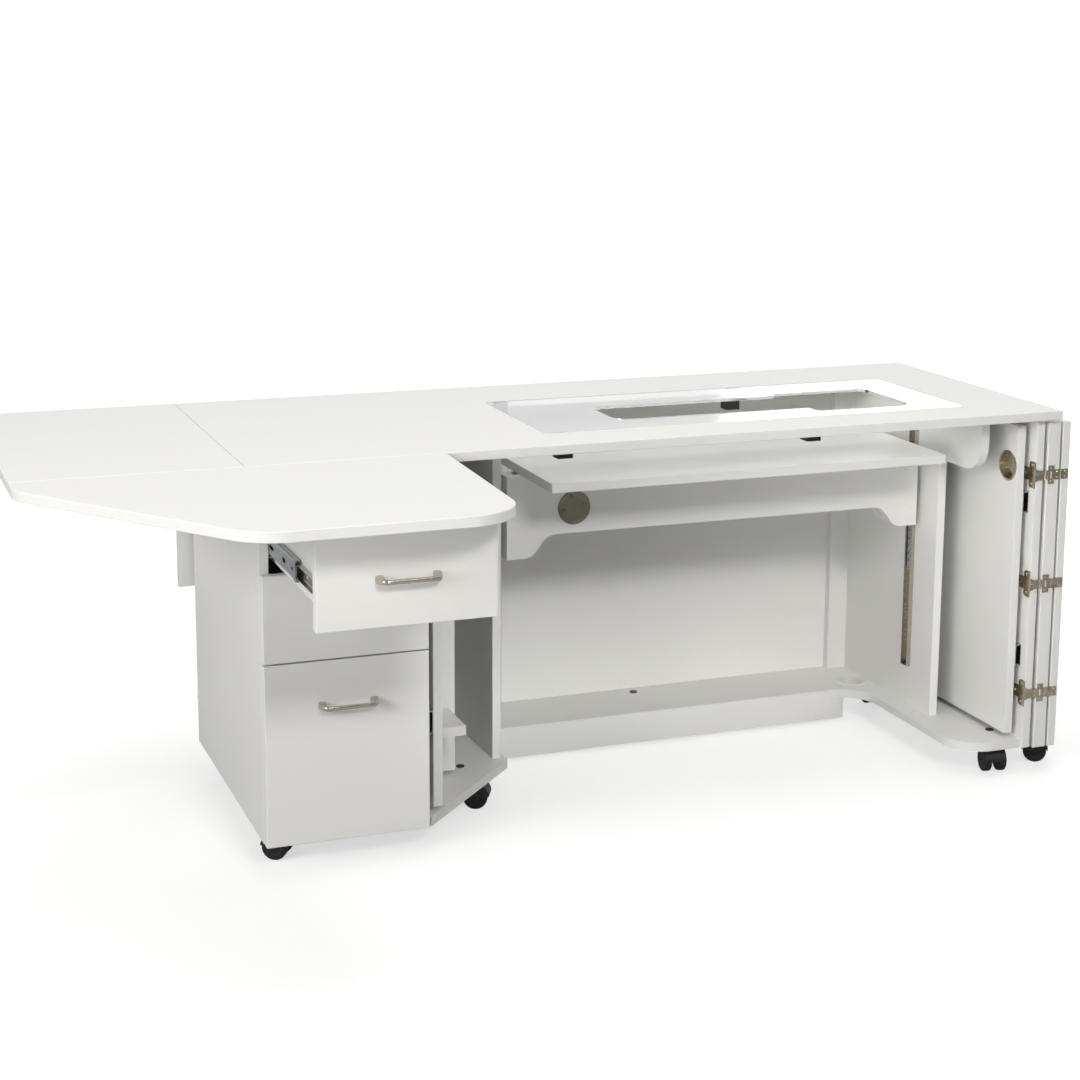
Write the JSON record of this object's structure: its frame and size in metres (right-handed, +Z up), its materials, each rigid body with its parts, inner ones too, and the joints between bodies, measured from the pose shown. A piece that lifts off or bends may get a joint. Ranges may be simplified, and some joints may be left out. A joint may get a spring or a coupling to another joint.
{
  "type": "sewing cabinet",
  "caption": "White sewing cabinet: wide lift-machine table with fold-over corner leaf, drawer pedestal, pull-out storage panels, hanging rear leaf and folding side door on casters.",
  "frame": {"origin": "on the floor under the middle of the bounding box", "axes": "+X to the sitter's right along the table, +Y to the back, +Z up"},
  "size_m": [2.1134, 1.156, 0.76],
  "materials": {
    "white_laminate": "white melamine-faced board with matching edge band",
    "clear_acrylic": "clear acrylic sheet with polished edges",
    "brushed_nickel": "satin nickel",
    "zinc_steel": "bright zinc plate",
    "black_plastic": "black moulded nylon",
    "white_plastic": "white moulded plastic"
  },
  "bodies": {
    "cabinet": {"main_top": "white_laminate", "rear_leaf_hinges_fixed": "zinc_steel", "insert_plate": "clear_acrylic", "plastic_fittings": "black_plastic", "floor_grommet": "white_plastic", "pedestal_left_side": "white_laminate", "pedestal_right_side": "white_laminate", "right_side": "white_laminate", "back_panel": "white_laminate", "floor_board": "white_laminate", "left_partition": "white_laminate", "right_partition": "white_laminate", "outer_rails": "zinc_steel", "door_hinge_plates": "brushed_nickel", "caster_plates": "zinc_steel"},
    "left_leaf": {"left_leaf": "white_laminate"},
    "front_leaf": {"front_leaf": "white_laminate"},
    "rear_leaf": {"rear_leaf": "white_laminate", "rear_leaf_hinges_hung": "zinc_steel"},
    "bottom_drawer": {"bottom_drawer_front": "white_laminate", "bottom_drawer_box": "white_laminate", "bottom_drawer_handle": "brushed_nickel", "bottom_drawer_inner_rails": "zinc_steel"},
    "bottom_drawer_rails": {"bottom_drawer_middle_rails": "zinc_steel"},
    "middle_drawer": {"middle_drawer_front": "white_laminate", "middle_drawer_box": "white_laminate", "middle_drawer_handle": "brushed_nickel", "middle_drawer_inner_rails": "zinc_steel"},
    "middle_drawer_rails": {"middle_drawer_middle_rails": "zinc_steel"},
    "top_drawer": {"top_drawer_front": "white_laminate", "top_drawer_box": "white_laminate", "top_drawer_handle": "brushed_nickel", "top_drawer_inner_rails": "zinc_steel"},
    "top_drawer_rails": {"top_drawer_middle_rails": "zinc_steel"},
    "left_pullout": {"left_pullout_panel": "white_laminate", "left_pullout_shelf": "white_laminate", "left_pullout_rails": "zinc_steel"},
    "right_pullout": {"right_pullout_panel": "white_laminate", "finger_cup": "brushed_nickel", "right_pullout_rails": "zinc_steel"},
    "lift": {"lift_platform": "white_laminate", "lift_frame": "white_laminate", "lift_round_plate": "brushed_nickel", "lift_inner_rails": "zinc_steel"},
    "door_post": {"door_post": "white_laminate", "post_hinge_straps": "brushed_nickel"},
    "door": {"door": "white_laminate", "door_fittings": "brushed_nickel"},
    "door_fork": {"door_caster_fork": "black_plastic"},
    "door_wheels": {"door_caster_wheels": "black_plastic"},
    "fork_front_left": {"caster_fork_front_left": "black_plastic"},
    "wheels_front_left": {"caster_wheels_front_left": "black_plastic"},
    "fork_inner_left": {"caster_fork_inner_left": "black_plastic"},
    "wheels_inner_left": {"caster_wheels_inner_left": "black_plastic"},
    "fork_front_right": {"caster_fork_front_right": "black_plastic"},
    "wheels_front_right": {"caster_wheels_front_right": "black_plastic"},
    "fork_rear_left": {"caster_fork_rear_left": "black_plastic"},
    "wheels_rear_left": {"caster_wheels_rear_left": "black_plastic"},
    "fork_rear_right": {"caster_fork_rear_right": "black_plastic"},
    "wheels_rear_right": {"caster_wheels_rear_right": "black_plastic"}
  },
  "joints": [
    {"name": "left_leaf_fold", "type": "hinge", "parent": "cabinet", "child": "left_leaf", "pos_m": [-0.66102, 0.2325, 0.7602], "axis": [0, 1, 0], "range_deg": [0, 180]},
    {"name": "front_leaf_lift", "type": "hinge", "parent": "cabinet", "child": "front_leaf", "pos_m": [-0.66072, -0.0928, 0.7602], "axis": [-1, 0, 0], "range_deg": [0, 90]},
    {"name": "rear_leaf_raise", "type": "hinge", "parent": "cabinet", "child": "rear_leaf", "pos_m": [0.16328, 0.558, 0.74], "axis": [1, 0, 0], "range_deg": [0, 90]},
    {"name": "bottom_drawer_pull", "type": "slide", "parent": "cabinet", "child": "bottom_drawer", "axis": [0, -1, 0], "range_m": [0, 0.49]},
    {"name": "bottom_drawer_rail_follow", "type": "slide", "parent": "cabinet", "child": "bottom_drawer_rails", "axis": [0, -1, 0], "range_m": [0, 0.245]},
    {"name": "middle_drawer_pull", "type": "slide", "parent": "cabinet", "child": "middle_drawer", "axis": [0, -1, 0], "range_m": [0, 0.49]},
    {"name": "middle_drawer_rail_follow", "type": "slide", "parent": "cabinet", "child": "middle_drawer_rails", "axis": [0, -1, 0], "range_m": [0, 0.245]},
    {"name": "top_drawer_pull", "type": "slide", "parent": "cabinet", "child": "top_drawer", "axis": [0, -1, 0], "range_m": [-0.38, 0.11]},
    {"name": "top_drawer_rail_follow", "type": "slide", "parent": "cabinet", "child": "top_drawer_rails", "axis": [0, -1, 0], "range_m": [-0.19, 0.055]},
    {"name": "left_pullout_slide", "type": "slide", "parent": "cabinet", "child": "left_pullout", "axis": [0, -1, 0], "range_m": [0, 0.35]},
    {"name": "right_pullout_slide", "type": "slide", "parent": "cabinet", "child": "right_pullout", "axis": [0, -1, 0], "range_m": [0, 0.35]},
    {"name": "lift_travel", "type": "slide", "parent": "cabinet", "child": "lift", "axis": [0, 0, 1], "range_m": [-0.31, 0.05]},
    {"name": "door_post_swing", "type": "hinge", "parent": "cabinet", "child": "door_post", "pos_m": [0.96258, -0.0755, 0.4], "axis": [0, 0, -1], "range_deg": [0, 90]},
    {"name": "door_swing", "type": "hinge", "parent": "door_post", "child": "door", "pos_m": [0.99778, -0.0755, 0.4], "axis": [0, 0, -1], "range_deg": [0, 90]},
    {"name": "door_fork_swivel", "type": "hinge", "parent": "door", "child": "door_fork", "pos_m": [1.00928, 0.0105, 0.047], "axis": [0, 0, 1], "continuous": true},
    {"name": "door_wheels_roll", "type": "hinge", "parent": "door_fork", "child": "door_wheels", "pos_m": [1.02248, 0.00146, 0.024], "axis": [0.565, 0.8251, 0], "continuous": true},
    {"name": "swivel_front_left", "type": "hinge", "parent": "cabinet", "child": "fork_front_left", "pos_m": [-0.57672, 0.0145, 0.047], "axis": [0, 0, 1], "continuous": true},
    {"name": "roll_front_left", "type": "hinge", "parent": "fork_front_left", "child": "wheels_front_left", "pos_m": [-0.59022, 0.0231, 0.024], "axis": [-0.5373, -0.8434, 0], "continuous": true},
    {"name": "swivel_inner_left", "type": "hinge", "parent": "cabinet", "child": "fork_inner_left", "pos_m": [-0.17972, 0.1485, 0.047], "axis": [0, 0, 1], "continuous": true},
    {"name": "roll_inner_left", "type": "hinge", "parent": "fork_inner_left", "child": "wheels_inner_left", "pos_m": [-0.16534, 0.14149, 0.024], "axis": [0.4384, 0.8988, 0], "continuous": true},
    {"name": "swivel_front_right", "type": "hinge", "parent": "cabinet", "child": "fork_front_right", "pos_m": [0.90328, -0.0125, 0.047], "axis": [0, 0, 1], "continuous": true},
    {"name": "roll_front_right", "type": "hinge", "parent": "fork_front_right", "child": "wheels_front_right", "pos_m": [0.90033, -0.02822, 0.024], "axis": [0.9829, -0.184, 0], "continuous": true},
    {"name": "swivel_rear_left", "type": "hinge", "parent": "cabinet", "child": "fork_rear_left", "pos_m": [-0.57072, 0.4675, 0.047], "axis": [0, 0, 1], "continuous": true},
    {"name": "roll_rear_left", "type": "hinge", "parent": "fork_rear_left", "child": "wheels_rear_left", "pos_m": [-0.57072, 0.4515, 0.024], "axis": [1, 0, 0], "continuous": true},
    {"name": "swivel_rear_right", "type": "hinge", "parent": "cabinet", "child": "fork_rear_right", "pos_m": [0.88928, 0.4675, 0.047], "axis": [0, 0, 1], "continuous": true},
    {"name": "roll_rear_right", "type": "hinge", "parent": "fork_rear_right", "child": "wheels_rear_right", "pos_m": [0.88928, 0.4515, 0.024], "axis": [1, 0, 0], "continuous": true}
  ],
  "couplings": [
    {"joint": "bottom_drawer_rail_follow", "follows": "bottom_drawer_pull", "ratio": 0.5},
    {"joint": "middle_drawer_rail_follow", "follows": "middle_drawer_pull", "ratio": 0.5},
    {"joint": "top_drawer_rail_follow", "follows": "top_drawer_pull", "ratio": 0.5}
  ]
}
